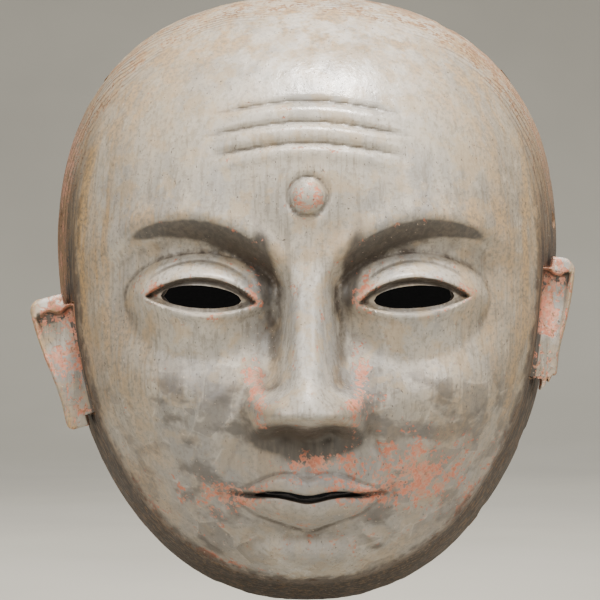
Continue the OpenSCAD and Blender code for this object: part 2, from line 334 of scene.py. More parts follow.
def noise(p, size):
    """Value noise from 0 to 1: random numbers on a lattice of that size, blended by 3t^2 - 2t^3."""
    q = np.asarray(p) / size
    base = np.floor(q).astype(int)
    t = q - base
    t = t * t * (3 - 2 * t)
    total = 0
    for corner in itertools.product((0, 1), repeat=3):
        share = np.prod(np.where(corner, t, 1 - t), axis=1)
        total = total + share * LATTICE[tuple(((base + corner) % 32).T)]
    return total


def new_mesh(name, points, faces, smooth=True):
    """A mesh piece from points in millimetres and faces, linked to the scene."""
    mesh = bpy.data.meshes.new(name)
    mesh.from_pydata((np.asarray(points) * MM).tolist(), [], [f for part in faces for f in part.tolist()])
    mesh.polygons.foreach_set("use_smooth", np.full(len(mesh.polygons), smooth))
    piece = bpy.data.objects.new(name, mesh)
    bpy.context.scene.collection.objects.link(piece)
    return piece


def points_of(piece):
    """The piece's points in millimetres."""
    flat = np.empty(3 * len(piece.data.vertices))
    piece.data.vertices.foreach_get("co", flat)
    return flat.reshape(-1, 3) / MM


def set_points(piece, points):
    """Puts the piece's points at these places in millimetres."""
    piece.data.vertices.foreach_set("co", (points * MM).ravel())
    piece.data.update()


def normals_of(piece):
    """The piece's normal at each point."""
    flat = np.empty(3 * len(piece.data.vertices))
    piece.data.vertex_normals.foreach_get("vector", flat)
    return flat.reshape(-1, 3)


def move_out(piece, amount):
    """Moves each point along its normal by the amount given for it, in millimetres."""
    set_points(piece, points_of(piece) + normals_of(piece) * amount[:, None])


def paint(piece, name, values):
    """Keeps a value for each point in a named attribute, for the piece's material."""
    piece.data.attributes.new(name, "FLOAT", "POINT").data.foreach_set("value", values.astype(np.float32))


def carve_shell():
    """Front sheet, hollow sheet with half as many lines, rounded walls through the slits, the flat rim."""
    front, front_quads, front_loops = sewn_sheet(*slit_plan(1), 1)
    back, back_quads, back_loops = sewn_sheet(*slit_plan(1.4), 2)
    x, z = front.T
    r = reach(x, z)
    front = np.stack([x, -dome(r, DOME_DEPTH) - relief(x, z), z], -1)
    x, z = back.T
    narrowed = 1 - rim_share * reach(x, z) ** 4
    x, z = x * narrowed, z * narrowed
    back = np.stack([x, -hollow(x, z), z], -1)
    back[back_loops[0], 1] = 0
    front[front_loops[0], 1] = -0.5
    points, faces = [front, back], [front_quads, back_quads[:, ::-1] + len(front)]
    count = len(front) + len(back)
    for k, (front_loop, back_loop) in enumerate(zip(front_loops, back_loops)):
        ring, start = front_loop, front[front_loop]
        end = np.repeat(back[back_loop], 2, axis=0)
        end[1::2] = (end[1::2] + np.roll(end[1::2], -1, axis=0)) / 2
        for share in ((0.08, 0.3, 0.93) if k == 0 else (0.06, 0.35, 0.7)):
            new = start + (end - start) * share
            if k == 0:
                new[:, 1] = 0
            points.append(new)
            faces.append(ring_quads(ring, count + np.arange(len(ring))))
            ring = count + np.arange(len(ring))
            count += len(ring)
        faces.append(halving(ring, back_loop + len(front)))
    count -= len(front) + len(back)
    return new_mesh("face_shell_carved", np.concatenate(points), faces), (len(front), len(back), count)


FRONT, BACK, WALL = 1, 2, 3
shell, sheet_counts = carve_shell()
which_sheet = np.repeat([FRONT, BACK, WALL], sheet_counts)
shell_points = points_of(shell)
x, y, z = shell_points.T
out = reach(x, z)


def blade_marks(p, angle, width):
    """Shallow scoops side by side with a crest between two: 1 - |sin| of the distance across them, bent a
    little by noise."""
    across = p[:, 0] * math.cos(angle) + p[:, 2] * math.sin(angle) + 6 * noise(p, 24)
    return 1 - abs(np.sin(np.pi * across / width))


# In front the knife leaves a little waviness, raised grain, short strokes on the lower cheeks and a worn
# arris round the side band. Behind, the gouge leaves scoops along the grain.
raised_grain = noise(shell_points * (1, 1, 0.12), 1.8)
strokes = np.where(x > 0, blade_marks(shell_points, 0.9, 7.5), blade_marks(shell_points, -0.7, 9.0))
stroke_place = (step(-20, -38, z) * step(12, 24, abs(x)) * (1 - step(0.78, 0.88, out))
                * (0.35 + 0.65 * step(0.45, 0.6, noise(shell_points, 17))))
band_edge = 0.90 + 0.03 * (noise(shell_points, 30) - 0.5)
arris = line(out - band_edge, 0.022) * (0.35 + 0.65 * step(50, -10, z))
chips = step(0.58, 0.75, noise(shell_points, 6)) * step(0.975, 0.998, out)
front_detail = (0.5 * (noise(shell_points, 19) - 0.5) + 0.16 * (raised_grain - 0.5)
                + 0.8 * strokes * stroke_place + 0.75 * arris - 0.35 * chips)
scoops = blade_marks(shell_points * (1, 1, 0.3), 0.12, 7.5) * (0.6 + 0.4 * blade_marks(shell_points, 1.5, 17))
back_detail = (0.9 * scoops - 0.3) * (1 - step(0.80, 0.89, out))
move_out(shell, np.select([which_sheet == FRONT, which_sheet == BACK], [front_detail, back_detail], 0.0))
set_points(shell, np.minimum(points_of(shell), (np.inf, 0, np.inf)))
paint(shell, "sheet", which_sheet.astype(float))

# The ears' seats and peg holes and the two cord holes are cut afterwards, a little wider than what goes in.
EAR_Y = -24
EAR_REACH = 0.942  # where the side wall is that deep
EAR_T = 9
SEAT_H = 38
SEAT_DEPTH = 3
PEG_R = 1.5
PEG_SPACING = 22
PEG_BITE = 6.5
PEG_LENGTH = 13
CORD_HOLE = (-13, 27, 2.5)  # y, z and radius
EARS = {"left": (1, -8, 8), "right": (-1, -20, 14)}  # side, height of the middle, lean of the top in degrees


def at_ear(p, side, height, lean):
    """From an ear's own frame to the mask's: x out of the head, z up along the ear, the origin on its seat's
    floor, which lies SEAT_DEPTH below the side wall at the ear's depth."""
    level = height / half_h
    far = EAR_REACH * abs(level) ** (2 / OUTLINE_POWER) * math.copysign(1, level)
    wall = half_w * (1 + EGG * far) * EAR_REACH * (1 - level * level) ** (1 / OUTLINE_POWER)
    a = math.radians(lean)
    x, y, z = np.asarray(p, float).T
    return np.stack([side * (wall - SEAT_DEPTH + x * math.cos(a) + z * math.sin(a)), EAR_Y + y,
                     height - x * math.sin(a) + z * math.cos(a)], -1)


def tube(centres, radii, around, spokes, wobble=0.0):
    """Closed round bar: rings of the given radii about the centres, across the unit vectors in around, with
    each end drawn together to one point. wobble makes the rings out of round, the same all along."""
    f = np.linspace(0, 2 * np.pi, spokes, endpoint=False)
    uneven = 1 + wobble * (np.cos(3 * f + 1) + np.cos(5 * f))
    circle = np.cos(f)[:, None] * around[0] + np.sin(f)[:, None] * around[1]
    rings = centres[:, None] + radii[:, None, None] * uneven[None, :, None] * circle[None]
    count = len(centres)
    points = np.concatenate([rings.reshape(-1, 3), centres[:1], centres[-1:]])
    ids = np.arange(count * spokes).reshape(count, spokes)
    beside = np.roll(ids, -1, 1)
    sides = np.stack([ids[:-1], beside[:-1], beside[1:], ids[1:]], -1).reshape(-1, 4)
    first = np.stack([np.roll(ids[0], -1), ids[0], np.full(spokes, count * spokes)], -1)
    last = np.stack([ids[-1], np.roll(ids[-1], -1), np.full(spokes, count * spokes + 1)], -1)
    return points, [sides, first, last]


def gathered(parts):
    """Several closed forms as one list of points and one of faces."""
    points, faces, count = [], [], 0
    for p, fs in parts:
        points.append(p)
        faces += [f + count for f in fs]
        count += len(p)
    return np.concatenate(points), faces


def along_x(start, end, radii_at, y, z, spokes, wobble=0.0):
    """Round bar along X from start to end, with radii at given shares of its length."""
    shares, radii = np.array(radii_at).T
    centres = np.stack([start + (end - start) * shares, np.full(len(shares), y), np.full(len(shares), z)], -1)
    return tube(centres, radii, np.array([[0, 1, 0], [0, 0, 1]]), spokes, wobble)


def seat_block():
    """The block that is cut out for an ear's seat, EAR_T by SEAT_H with a hair of room."""
    y, z = EAR_T / 2 + 0.15, SEAT_H / 2 + 0.15
    points = np.array([(x, s * y, t * z) for x in (0, 30) for s in (-1, 1) for t in (-1, 1)])
    sides = [(0, 1, 3, 2), (4, 6, 7, 5), (0, 4, 5, 1), (2, 3, 7, 6), (0, 2, 6, 4), (1, 5, 7, 3)]
    return points, [np.array(sides)]


def mirrored(part):
    """The same closed form on the other side of the mask."""
    points, faces = part
    return points * (-1, 1, 1), [f[:, ::-1] for f in faces]


def placed(part, ear):
    """A closed form from an ear's own frame into the mask's, turned right way round on the right side."""
    points, faces = part
    return at_ear(points, *ear), faces if ear[0] > 0 else [f[:, ::-1] for f in faces]


def cut(piece, name, part):
    """Cuts a closed form out of the piece."""
    cutter = new_mesh(name, *part, smooth=False)
    modifier = piece.modifiers.new(name, "BOOLEAN")
    modifier.operation, modifier.solver, modifier.object = "DIFFERENCE", "MANIFOLD", cutter
    result = bpy.data.meshes.new_from_object(piece.evaluated_get(bpy.context.evaluated_depsgraph_get()))
    piece.modifiers.clear()
    piece.data = result
    bpy.data.objects.remove(cutter)


cord_y, cord_z, cord_r = CORD_HOLE
worn_bore = [(0, cord_r + 1.2), (0.18, cord_r + 0.5), (0.3, cord_r), (0.62, cord_r), (0.74, cord_r + 0.4),
             (0.82, cord_r + 1.1), (1, cord_r + 2)]
cord_bore = along_x(half_w - 12.5, half_w + 3.5, worn_bore, cord_y, cord_z, 32)
peg_hole = [(0, PEG_R + 0.05), (1, PEG_R + 0.05)]
cut(shell, "seats", gathered([placed(seat_block(), ear) for ear in EARS.values()]))
cut(shell, "cord_bores", gathered([cord_bore, mirrored(cord_bore)]))
cut(shell, "peg_bores", gathered([placed(along_x(PEG_BITE - PEG_LENGTH - 6, 2, peg_hole, 0, up, 24), ear)
                                  for ear in EARS.values() for up in (-PEG_SPACING / 2, PEG_SPACING / 2)]))


def mean_around(form, x, z, radius):
    """Mean of a relief on a circle of that radius about each point."""
    angles = np.arange(8) * np.pi / 4
    return sum(form(x + radius * math.cos(a), z + radius * math.sin(a)) for a in angles) / 8


def values_of(piece, name):
    """A painted attribute's value at each point."""
    values = np.empty(len(piece.data.vertices), np.float32)
    piece.data.attributes[name].data.foreach_get("value", values)
    return values


def patches(x, z, *places):
    """Sum of rounded humps, each given as strength, middle in x and z, and spread in x and z."""
    return sum(strength * hump(x, z, *place) for strength, *place in places)


# Where the finish has suffered, and where light and shade are painted, told to the material point by point:
# fine and broad relief, how far out a point is, dark pigment and painted shade under the brows and the nose,
# painted shade on the holes' walls, worn red places, painted highlights (pale), ochre places, and bare wood.
shell_points = points_of(shell)
x, y, z = shell_points.T
X, out = abs(x), reach(x, z)
sheet = values_of(shell, "sheet")
below_brow = brow_line(X) - z
brow_depth = 12 - 0.2 * np.clip(X - 18, 0, 44)
under_brow = (step(-2, 1.5, below_brow) * (1 - step(0.35, 1, below_brow / brow_depth)) * step(9, 17, X)
              * (1 - step(52, 63, X)))
nose_root = 0.85 * hump(X, z, 14.5 + 0.12 * (z - 10), 9, 3.6, 15)
lid_edge = 0.85 * line(z - upper_lid(X) + 0.7, 1.2) * (1 - step(EYE_HALF - 2, EYE_HALF + 1, abs(X - EYE_X)))
lip_line = 0.8 * line(z - mouth_line(X), 1.3) * (1 - step(22, 27, X))
under_nose = patches(X, z, (1.7, 8, -45.5, 9.5, 4)) + patches(x, z, (0.8, 0, -51, 9, 4))
# Painted shade with dark pigment under the brows, beside the nose root and under the nose, where shade falls,
# and dark painted lines along the upper lids and between the lips.
charcoal_and_shade = np.max([under_brow, nose_root, lid_edge, lip_line], axis=0) + under_nose
on_front = sheet < FRONT + 0.5
in_holes = (sheet > WALL - 0.5) & (out < 0.9)
grime = patches(x, z, (0.9, 0, -66, 22, 4)) + patches(X, z, (0.6, 35, 0, 17, 7))
side_edge = step(0.9, 0.99, out)
red = (patches(X, z, (0.95, 17, -26, 5, 13), (0.8, 17, 3, 3.5, 9), (0.5, 52, 2, 6, 5))
       + patches(x, z, (0.9, 0, -54, 13, 4), (0.95, 36, -58, 27, 16), (0.7, -27, -66, 8, 7),
                 (0.35, -40, -66, 22, 18), (0.5, 0, -82, 22, 5), (0.55, 0, 33, 7, 9))
       + side_edge * step(20, 60, -x) * (1 - step(40, 80, z)) * step(-45, -5, z)
       + 0.8 * line(out - 0.885, 0.014) * (1 - step(-75, -45, z)) * step(0.5, 0.6, noise(shell_points, 16))
       + 0.5 * side_edge * step(20, 60, x) * step(-10, 40, z))
# Painted highlight: paler pigment on the forehead top, the nose ridge, the lids, the cheekbones, the chin and
# one temple, where the lamps light the face.
pale = (patches(x, z, (1.1, 6, 80, 44, 34), (0.6, 0, -18, 7, 26), (1, 0, -90, 26, 12), (0.5, -64, 30, 15, 28))
        + patches(X, z, (0.55, 36, 4, 20, 9), (0.35, 44, -20, 18, 14)))
ochre = (0.85 * step(0.6, 0.92, out) * (0.25 + 0.75 * step(-80, 20, z))
         + patches(X, z, (0.7, 54, 27, 15, 7), (0.4, 60, -10, 16, 30)))
fine = relief(x, z) - mean_around(relief, x, z, 1.6)
fine += 0.35 * line(out - (0.90 + 0.03 * (noise(shell_points, 30) - 0.5)), 0.012) * step(50, -10, z)
paint(shell, "fine", fine)
# Broad relief: the low places, which the material darkens as painted shade.
paint(shell, "broad", relief(x, z) - mean_around(relief, x, z, 7))
paint(shell, "out", out)
# In front dark pigment with painted shade, on the walls of the eye holes and the slit painted shade, and real
# grime behind.
paint(shell, "soot", np.select([on_front, in_holes], [charcoal_and_shade, 0.95], grime))
paint(shell, "red", red)
paint(shell, "pale", pale)
paint(shell, "ochre", ochre)
paint(shell, "facets", step(-14, -34, z) * step(10, 22, X) * (1 - step(0.86, 0.92, out)))
paint(shell, "bare", step(0.64, 0.70, noise(shell_points, 4.5)) * step(0.965, 0.99, out))

# The paint stays on the carved front. The rim, the hollow, the holes' walls and the cuts show bare wood.
mesh = shell.data
corners = np.empty(len(mesh.loops), np.int32)
mesh.loops.foreach_get("vertex_index", corners)
starts, totals = np.empty(len(mesh.polygons), np.int32), np.empty(len(mesh.polygons), np.int32)
mesh.polygons.foreach_get("loop_start", starts)
mesh.polygons.foreach_get("loop_total", totals)
face_sheet = np.add.reduceat(sheet[corners], starts) / totals
painted_face = (face_sheet > FRONT - 0.4) & (face_sheet < FRONT + 0.5)
mesh.set_sharp_from_angle(angle=math.radians(48))


class Wire:
    """A value or colour on its way through a material's nodes. Arithmetic on it adds Math nodes."""

    def __init__(self, tree, socket=None):
        self.tree, self.socket = tree, socket

    def make(self, kind, settings=(), sockets=(), out=0):
        """Adds any node: its settings first, then its sockets' values and links. Gives its output out."""
        node = self.tree.nodes.new(kind)
        for name, value in dict(settings).items():
            setattr(node, name, value)
        for name, value in dict(sockets).items():
            if isinstance(value, Wire):
                self.tree.links.new(value.socket, node.inputs[name])
            else:
                node.inputs[name].default_value = value
        return Wire(self.tree, node.outputs[out])

    def math(self, operation, *values):
        return self.make("ShaderNodeMath", {"operation": operation}, enumerate(values))

    def __add__(self, other):
        return self.math("ADD", self, other)

    def __sub__(self, other):
        return self.math("SUBTRACT", self, other)

    def __rsub__(self, other):
        return self.math("SUBTRACT", other, self)

    def __mul__(self, other):
        return self.math("MULTIPLY", self, other)

    def __truediv__(self, other):
        return self.math("DIVIDE", self, other)

    def __rtruediv__(self, other):
        return self.math("DIVIDE", other, self)

    def __abs__(self):
        return self.math("ABSOLUTE", self)

    __radd__, __rmul__ = __add__, __mul__

    def sine(self):
        return self.math("SINE", self)

    def root(self):
        return self.math("SQRT", self)

    def or_more(self, other):
        """The larger of the two."""
        return self.math("MAXIMUM", self, other)

    def step(self, lo, hi):
        """Smooth step: 0 at lo and 1 at hi. lo may be the higher one."""
        return self.make("ShaderNodeMapRange", {"interpolation_type": "SMOOTHSTEP"}, {0: self, 1: lo, 2: hi})

    def mix(self, a, b):
        """Colour a where this value is 0 and b where it is 1."""
        a, b = (c if isinstance(c, Wire) else (*c, 1) for c in (a, b))
        return self.make("ShaderNodeMix", {"data_type": "RGBA"}, {0: self, 6: a, 7: b}, 2)

    def split(self):
        """The three parts of a place."""
        first = self.make("ShaderNodeSeparateXYZ", (), {0: self})
        return [Wire(self.tree, part) for part in first.socket.node.outputs]

    def noise(self, size, stretch=(1, 1, 1), detail=2.0, shift=0.0):
        """Noise about 0.5 over a place in millimetres: patches of a size, drawn out where stretch is low."""
        scaled = self.make("ShaderNodeVectorMath", {"operation": "MULTIPLY_ADD"},
                           {0: self, 1: tuple(s / size for s in stretch), 2: (shift, shift, shift)})
        return self.make("ShaderNodeTexNoise", (), {"Vector": scaled, "Scale": 1.0, "Detail": detail,
                                                    "Roughness": 0.6})

    def painted(self, name):
        """The piece's attribute of that name."""
        return self.make("ShaderNodeAttribute", {"attribute_name": name}, (), "Fac")


def layered(base, *layers):
    """Colours laid one over another, each as much as the amount given with it."""
    for amount, colour in layers:
        base = amount.mix(base, colour)
    return base


def surface(name, build):
    """A material. build gets the place and gives colour, roughness and height, in millimetres."""
    material = bpy.data.materials.new(name)
    material.use_nodes = True
    tree = material.node_tree
    shader = tree.nodes["Principled BSDF"]
    metres = Wire(tree).make("ShaderNodeTexCoord", out="Object")
    place = metres.make("ShaderNodeVectorMath", {"operation": "SCALE"}, {0: metres, "Scale": 1 / MM})
    colour, roughness, height = build(place)
    bump = place.make("ShaderNodeBump", (), {"Height": height, "Distance": MM, "Strength": 1.0})
    for wire, socket in ((colour, "Base Color"), (roughness, "Roughness"), (bump, "Normal")):
        tree.links.new(wire.socket, shader.inputs[socket])
    return material


def wood(place, early, late, spacing=2.3):
    """Straight-grained conifer: rings about the heart behind the mask, warped a little, and fibres along Z.
    Gives its colour, the dark ring lines and the fibres."""
    x, y, z = place.split()
    behind = y - 120
    radius = (x * x + behind * behind).root() + 10 * place.noise(34, (1, 1, 0.22))
    rings = (radius * (2 * math.pi / spacing)).sine().step(0.1, 1.0)
    fibres = place.noise(0.55, (1, 1, 0.045), 3)
    clouds = place.noise(15, (1, 1, 0.3), 3)
    shade = 0.42 * rings + 0.38 * fibres.step(0.38, 0.66) + 0.35 * clouds.step(0.38, 0.66)
    return shade.mix(early, late), rings, fibres


def pigment(place, marbled=0.0):
    """Carved wood under a salmon ground and warm grey pigment, worn, rubbed and soiled, with painted
    highlights on the raised places and painted shade in hollows and under brows and nose. marbled wears the
    pigment into veins, as on the ears."""
    z = place.split()[2]
    fine, broad, out, soot, red, pale, ochre, bare, facets = (
        place.painted(name) for name in "fine broad out soot red pale ochre bare facets".split())
    wood_colour, rings, fibres = wood(place, (0.33, 0.20, 0.105), (0.15, 0.082, 0.042))
    band = out.step(0.885, 0.925)
    mottle = place.noise(5.5, (1, 1, 0.8), 5)
    grit = place.noise(1.3, detail=4, shift=9)
    brushed = place.noise(1.5, (1, 1, 0.05), 4, shift=3)
    wide_brushed = place.noise(5.5, (1, 1, 0.09), 3, shift=17)
    clouds = place.noise(24, (1, 1, 0.7), 3, shift=5)
    rough_place = 1 - 0.75 * pale

    # flat cuts of the knife on the lower cheeks, each a shallow scoop with a tone of its own
    shift = 5 * place.noise(13, detail=1)
    bent = place.make("ShaderNodeVectorMath", {"operation": "ADD"}, {0: place, 1: shift})
    cell = {"Vector": bent, "Scale": 0.085, "Randomness": 1.0}
    tone = place.make("ShaderNodeTexVoronoi", {"feature": "F1"}, cell, "Color").split()[0]
    scoops = facets * place.make("ShaderNodeTexVoronoi", {"feature": "F1"}, cell, "Distance")
    from_edge = place.make("ShaderNodeTexVoronoi", {"feature": "DISTANCE_TO_EDGE"}, cell, "Distance")
    smudge = facets * place.noise(14, (0.7, 1, 1.2), 4, shift=120).step(0.49, 0.62)

    # the pigment, lighter where a painted highlight lies, then stained down the sides, and darkened under
    # brows and nose by dark pigment that is partly painted shade
    stain = ochre * (0.35 + 0.9 * wide_brushed.step(0.42, 0.62)) * 0.72 + 0.25 * clouds.step(0.5, 0.34)
    # Dark pigment with painted shade under the brows and nose, dark painted lines at lids and lips, and on
    # the ears painted shadow under the rolled rim.
    sooty_and_shaded = (soot + 0.6 * (mottle - 0.5)).step(0.12, 0.60) * 0.93
    grey = layered(
        pale.mix((0.262, 0.235, 0.190), (0.60, 0.575, 0.53)),
        (0.65 * clouds.step(0.46, 0.62), (0.200, 0.198, 0.192)),  # cool clouds
        (0.60 * mottle.step(0.5, 0.68), (0.42, 0.38, 0.315)),  # dabs of the brush
        (0.60 * rough_place * brushed.step(0.5, 0.64), (0.150, 0.128, 0.098)),  # dark bristle marks
        (0.45 * wide_brushed.step(0.52, 0.66), (0.43, 0.39, 0.325)),  # pale strokes
        (0.50 * rough_place * grit.step(0.50, 0.66), (0.135, 0.112, 0.085)),  # soiled grit
        (0.45 * place.noise(8, detail=4, shift=90).step(0.5, 0.62), (0.37, 0.265, 0.145)),  # brown spots
        (0.30 * z.step(20, 60) * (1 - 0.7 * pale), (0.40, 0.33, 0.225)),  # yellowed crown
        (0.50 * z.step(-25, -60) * (1 - 0.6 * pale), (0.225, 0.213, 0.205)),  # cooler jaw
        (0.58 * facets * tone.step(0.45, 0.95), (0.130, 0.118, 0.108)),
        (0.30 * facets * from_edge.step(0.045, 0) * mottle.step(0.42, 0.6), (0.50, 0.46, 0.40)),
        (0.88 * smudge, (0.092, 0.083, 0.076)),
        (stain, grit.step(0.4, 0.62).mix((0.38, 0.245, 0.115), (0.215, 0.160, 0.098))),
        (sooty_and_shaded, brushed.step(0.4, 0.64).mix((0.034, 0.029, 0.025), (0.070, 0.058, 0.047))))

    # wear: first to the salmon ground, then to the wood, which also shows all along the side band
    veins = abs(place.noise(4.2, (1, 1, 0.6), 4, shift=30) - 0.5).step(0.045, 0.0)
    wear = 0.5 * mottle + 0.5 * grit + 0.205 * red + 0.07 * fine.step(0.06, 0.34) + 0.075 * band
    wear = wear + 0.16 * marbled * veins
    worn = wear.step(0.635, 0.705)
    ground = layered(
        (grit * 0.5 + mottle * 0.5).step(0.42, 0.6).mix((0.66, 0.285, 0.185), (0.47, 0.135, 0.070)),
        (0.6 * place.noise(2.2, detail=3, shift=40).step(0.46, 0.62), (0.37, 0.25, 0.175)))
    streaks = (0.4 * mottle + 0.6 * wide_brushed - 0.0016 * z).step(0.42, 0.56)
    brown_band = band * (0.25 + 0.75 * streaks) * z.step(100, -10) * (1 - 0.7 * red)
    through = (wear - 0.14 * red + 0.10 * band).step(0.70, 0.735).or_more(bare).or_more(0.88 * brown_band)

    # grime and painted shade in the grooves and at the foot of ridges, smoke and painted shade on the side
    # band, stronger lower down, a dark arris on the band, pits, and pale specks
    groove = fine.step(-0.06, -0.5) * (0.45 + 0.55 * mottle.step(0.36, 0.6))
    dirt_and_hollow_shade = 0.55 * groove + 0.42 * broad.step(-0.3, -3.0) * mottle.step(0.36, 0.62)
    smoke_and_side_shade = band * z.step(90, 0) * (0.7 + 0.5 * brushed.step(0.62, 0.42)) * (0.94 - 0.75 * red * worn)
    arris = abs(out - 0.897).step(0.020, 0.004) * z.step(70, 0) * mottle.step(0.38, 0.58)
    pits = place.noise(0.75, (1, 1, 0.5), 1, shift=50).step(0.70, 0.76)
    specks = place.noise(1.1, detail=1, shift=60).step(0.715, 0.76) * clouds.step(0.4, 0.6)
    colour = layered(
        grey,
        (0.86 * worn, ground),
        (through, wood_colour),
        (dirt_and_hollow_shade, (0.050, 0.037, 0.027)),
        (band * rings * (0.18 + 0.5 * clouds.step(0.40, 0.60)), (0.070, 0.045, 0.028)),
        (smoke_and_side_shade, (0.046, 0.037, 0.030)),
        (0.75 * arris, (0.042, 0.034, 0.028)),
        (0.7 * pits, (0.055, 0.042, 0.032)),
        (0.6 * specks, (0.50, 0.40, 0.31)))

    roughness = (0.37 - 0.09 * pale + 0.32 * band + 0.5 * (mottle - 0.5) + 0.14 * worn + 0.12 * through
                 + 0.2 * dirt_and_hollow_shade + 0.16 * (1 - pale) * brushed)
    height = (0.11 * mottle + 0.09 * brushed + 0.06 * wide_brushed + 0.10 * grit - 0.09 * worn
              - 0.05 * through + 0.06 * through * fibres + 0.05 * band * rings - 0.09 * pits + 1.1 * scoops)
    return colour, roughness, height


def bare_wood(place):
    """The hollow and the rim: oiled and handled brown wood, darker round the mouth, with painted shade on the
    holes' walls and grime in the low places."""
    x, y, z = place.split()
    soot = place.painted("soot")
    oiled, rings, fibres = wood(place, (0.27, 0.155, 0.078), (0.135, 0.070, 0.034))
    clouds = place.noise(28, (1, 1, 0.5), 4, shift=4)
    breath = (x * x / 1400 + (z + 55) * (z + 55) / 1500).step(1.1, 0.1) * (y + 8).step(0, -8)
    pits = place.noise(0.9, (1, 1, 0.25), 1, shift=50).step(0.70, 0.76)
    colour = layered(
        oiled,
        (0.45 * clouds.step(0.44, 0.66) + 0.5 * breath, (0.075, 0.040, 0.022)),
        (0.4 * place.noise(2.0, (1, 1, 0.1), 3, shift=12).step(0.5, 0.7), (0.34, 0.215, 0.12)),  # dry fibres
        # Painted shade on the walls of the eye holes and the slit, and real grime behind the eyes and mouth.
        (0.9 * soot, (0.030, 0.022, 0.017)),
        (0.6 * pits, (0.05, 0.03, 0.018)))
    roughness = 0.58 + 0.12 * clouds - 0.08 * rings + 0.1 * pits + 0.35 * soot
    return colour, roughness, 0.05 * fibres + 0.035 * rings + 0.05 * clouds - 0.08 * pits


mesh.materials.clear()
for material in (surface("pigment_on_wood", pigment), surface("hollow_wood", bare_wood)):
    mesh.materials.append(material)
mesh.polygons.foreach_set("material_index", np.where(painted_face, 0, 1).astype(np.int32))
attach(shell, "root")
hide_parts("face_shell")

# ---- Ears ----------------------------------------------------------------------
# Two blocks of the same wood, each whittled to a rolled rim over a shallow hollow and glued into its seat in
# the side wall. The left one has lost its lobe and shows the broken wood.

EAR_TOP = 23


def rounding(distance, radius):
    """How far a face drops next to an edge that is rounded off with that radius."""
    return radius - np.sqrt(radius**2 - (radius - np.clip(distance, 0, radius)) ** 2)


def ear_outer(z, out, taper):
    """The outer edge: leaning in downwards, with a round corner above and a smaller one below."""
    edge = out - taper * (EAR_TOP - z) / (2 * EAR_TOP)
    return edge - rounding(EAR_TOP - z, 4.6) - rounding(z + EAR_TOP, 2.0) + 0.35 * np.sin(z / 5.1)


def ear_carving(x, z, out, taper):
    """Depth of the hollow in front: steep under the rolled rim, and running out towards the lower end."""
    inside = np.minimum(ear_outer(z, out, taper) - x - 1.5, EAR_TOP - z - 5.6 + 0.7 * np.sin(x * 0.8))
    inside = np.minimum(inside, x - 0.9)
    return step(-0.8, 0.9, inside) * (0.55 + 2.35 * step(-16, 15, z)) * (1 - 0.25 * step(3, 8, x))


def carve_ear(side, out, taper, broken):
    """Front and back sheet over (across, up), joined by a band round the edge. Between the seat's ends the
    block starts at the seat's floor, above and below it stays outside the wall. The broken end is pushed up
    in steps."""
    across = (packed(72, [(-1, 0.12, 3), (1, 0.16, 4)]) + 1) / 2
    up = packed(150, [(-1, 0.05, 3), (1, 0.08, 4), (0.75, 0.06, 2)])
    s, t = np.meshgrid(across, up)
    z = EAR_TOP * t
    inner = np.where(z > 0, 3.6, 5.4) * step(SEAT_H / 2 - 0.3, SEAT_H / 2 + 0.2, abs(z))
    x = inner + (ear_outer(z, out, taper) - inner) * s
    flat = np.stack([x, 0 * x, z], -1).reshape(-1, 3)
    grain = noise(flat * (1, 1, 0.2), 0.9).reshape(x.shape) - 0.5
    rims = [(ear_outer(z, out, taper) - x, 1.5), (x - inner, 0.3 + 0.4 * step(0, 3, inner)),
            (EAR_TOP - z, 1.7), (z + EAR_TOP, 0.25 if broken else 1.2)]
    drop = np.max([rounding(distance, radius) for distance, radius in rims], axis=0)
    if broken:
        lift = 1.4 * step(5.7, 6.1, x) + 3.6 * step(7.1, 7.9, x + 1.6 * grain) + 1.1 * grain
        z = z + lift * (1 - step(0, 0.42, (t + 1) / 2))
    half = EAR_T / 2 - drop
    sunk = ear_carving(x, z, out, taper) * (1 - step(0.5, 1.3, drop))
    front = np.stack([x, sunk - half, z], -1).reshape(-1, 3)
    back = np.stack([x, half, z], -1).reshape(-1, 3)
    ids = np.arange(x.size).reshape(x.shape)
    quads, loop = quads_of(ids), border(ids)
    points, faces, ring, count = [front, back], [quads, quads[:, ::-1] + x.size], loop, 2 * x.size
    for share in (0.2, 0.4, 0.6, 0.8):
        points.append(front[loop] + (back[loop] - front[loop]) * share)
        faces.append(ring_quads(ring, count + np.arange(len(loop))))
        ring = count + np.arange(len(loop))
        count += len(loop)
    faces.append(ring_quads(ring, loop + x.size))
    piece = new_mesh(f"ear_{side}_carved", np.concatenate(points), faces)
    p = points_of(piece)
    uneven = 0.55 * (noise(p, 7) - 0.5) + 0.22 * (noise(p * (1, 1, 0.15), 1.3) - 0.5)
    if broken:
        uneven += 0.7 * (noise(p, 1.7) - 0.5) * (1 - step(-19, -16, p[:, 2]))
    move_out(piece, uneven * step(3.2, 4.2, p[:, 0]))
    cut(piece, "peg_bores", gathered([along_x(-2, PEG_BITE + 0.1, peg_hole, 0, height, 24)
                                      for height in (-PEG_SPACING / 2, PEG_SPACING / 2)]))
    return piece


